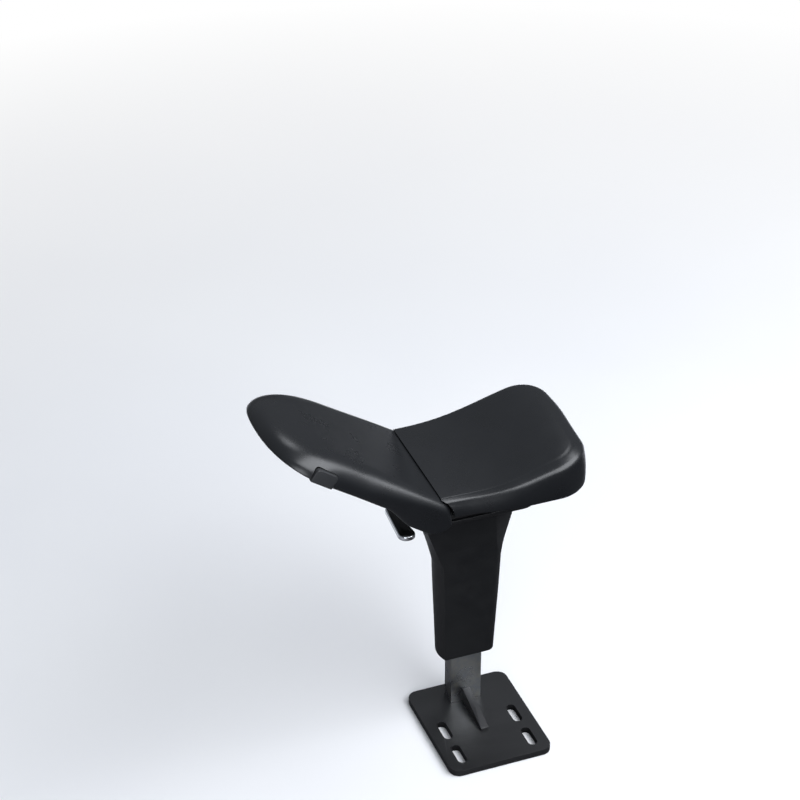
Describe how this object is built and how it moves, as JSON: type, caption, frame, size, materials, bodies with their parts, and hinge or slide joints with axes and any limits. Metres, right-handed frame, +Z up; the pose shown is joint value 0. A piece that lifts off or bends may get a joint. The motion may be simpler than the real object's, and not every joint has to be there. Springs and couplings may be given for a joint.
{
  "type": "chair armrest pad",
  "caption": "Black two-section armrest pad with a front half that tilts up, on a sliding, swivelling head and a height-adjustable post.",
  "frame": {"origin": "centre of the column on the underside of the foot", "axes": "+Z up, -X towards the front of the chair and the nose of the pad, +Y towards the outer side, away from the sitter"},
  "size_m": [0.2359, 0.1365, 0.2937],
  "materials": {
    "pad_skin": "semi-matte moulded polyurethane skin with a very fine grain",
    "shell": "fine moulded texture, satin",
    "glide": "smooth acetal",
    "black_steel": "black powder coat",
    "zinc_steel": "bright zinc plate",
    "spring_steel": "drawn wire",
    "chrome": "polished chrome"
  },
  "bodies": {
    "post": {"foot_bracket": "black_steel", "foot_rib": "black_steel", "inner_column": "zinc_steel", "column_cap_glide": "glide"},
    "sleeve": {"post_sleeve": "shell", "lower_glide": "glide", "head_plate": "black_steel", "head_screw_1": "zinc_steel", "head_screw_2": "zinc_steel", "head_screw_3": "zinc_steel", "head_screw_4": "zinc_steel", "swivel_bolt": "zinc_steel", "swivel_nut": "zinc_steel", "thrust_washer": "glide", "swivel_stop_pin": "zinc_steel", "lever_pivot_pin": "zinc_steel", "height_pawl_pin": "zinc_steel", "height_lock_spring": "spring_steel"},
    "lever": {"lever_rim": "chrome", "lever_inlay": "shell", "lever_neck": "chrome"},
    "push_rod": {"height_push_rod": "zinc_steel"},
    "height_pawl": {"height_lock_pawl": "zinc_steel"},
    "swivel": {"swivel_plate": "black_steel", "cross_rail_front": "zinc_steel", "cross_rail_rear": "zinc_steel"},
    "carriage": {"side_carriage": "shell", "track_glide_inner": "glide", "track_glide_outer": "glide"},
    "pad": {"top_track": "black_steel", "track_screw_1": "zinc_steel", "track_screw_2": "zinc_steel", "track_screw_3": "zinc_steel", "track_screw_4": "zinc_steel", "rear_base": "shell", "rear_cushion": "pad_skin", "tilt_sector": "zinc_steel", "hinge_bush_inner": "glide", "hinge_bush_outer": "glide"},
    "front": {"front_cushion": "pad_skin", "front_base": "shell", "front_cover": "shell", "cover_screw_1": "zinc_steel", "cover_screw_2": "zinc_steel", "cover_screw_3": "zinc_steel", "cover_screw_4": "zinc_steel", "hinge_pin": "zinc_steel", "hinge_clip_inner": "spring_steel", "hinge_clip_outer": "spring_steel", "pawl_pin": "zinc_steel", "crank_pin": "zinc_steel", "tab_spring": "spring_steel"},
    "tab": {"release_tab": "shell"},
    "crank": {"release_crank": "zinc_steel"},
    "rod": {"release_rod": "zinc_steel"},
    "tilt_pawl": {"tilt_pawl": "zinc_steel"}
  },
  "joints": [
    {"name": "height_slide", "type": "slide", "parent": "post", "child": "sleeve", "axis": [0, 0, 1], "range_m": [-0.03, 0.03]},
    {"name": "pad_swivel", "type": "hinge", "parent": "sleeve", "child": "swivel", "pos_m": [0, 0, 0.1884], "axis": [0, 0, 1], "range_deg": [-20, 20]},
    {"name": "side_slide", "type": "slide", "parent": "swivel", "child": "carriage", "axis": [0, 1, 0], "range_m": [-0.012, 0.012]},
    {"name": "fore_aft_slide", "type": "slide", "parent": "carriage", "child": "pad", "axis": [1, 0, 0], "range_m": [-0.025, 0.015]},
    {"name": "front_tilt", "type": "hinge", "parent": "pad", "child": "front", "pos_m": [-0.042, 0, 0.212], "axis": [0, 1, 0], "range_deg": [-35, 0]},
    {"name": "height_lever", "type": "hinge", "parent": "sleeve", "child": "lever", "pos_m": [-0.022, 0, 0.172], "axis": [0, 1, 0], "range_deg": [0, 8]},
    {"name": "push_rod_slide", "type": "slide", "parent": "sleeve", "child": "push_rod", "axis": [0, 0, 1], "range_m": [-0.0007, 0]},
    {"name": "height_pawl_turn", "type": "hinge", "parent": "sleeve", "child": "height_pawl", "pos_m": [-0.0146, 0, 0.0875], "axis": [0, 1, 0], "range_deg": [-15, 0], "deforming": ["height_lock_spring"]},
    {"name": "release_tab_press", "type": "slide", "parent": "front", "child": "tab", "axis": [0, 1, 0], "range_m": [0, 0.002], "deforming": ["tab_spring"]},
    {"name": "release_crank_turn", "type": "hinge", "parent": "front", "child": "crank", "pos_m": [-0.13127, -0.0126, 0.2728], "axis": [0.5736, 0, 0.8192], "range_deg": [0, 9.6]},
    {"name": "release_rod_slide", "type": "slide", "parent": "front", "child": "rod", "axis": [-0.8192, 0, 0.5736], "range_m": [0, 0.0007]},
    {"name": "tilt_pawl_turn", "type": "hinge", "parent": "front", "child": "tilt_pawl", "pos_m": [-0.05949, -0.012, 0.22364], "axis": [0, 1, 0], "range_deg": [0, 10.7]}
  ],
  "couplings": [
    {"joint": "push_rod_slide", "follows": "height_lever", "m_per_rad": -0.0048},
    {"joint": "height_pawl_turn", "follows": "height_lever", "ratio": -1.846},
    {"joint": "release_crank_turn", "follows": "release_tab_press", "rad_per_m": 83.333},
    {"joint": "release_rod_slide", "follows": "release_tab_press", "ratio": 0.3333},
    {"joint": "tilt_pawl_turn", "follows": "release_tab_press", "rad_per_m": 92.593}
  ]
}
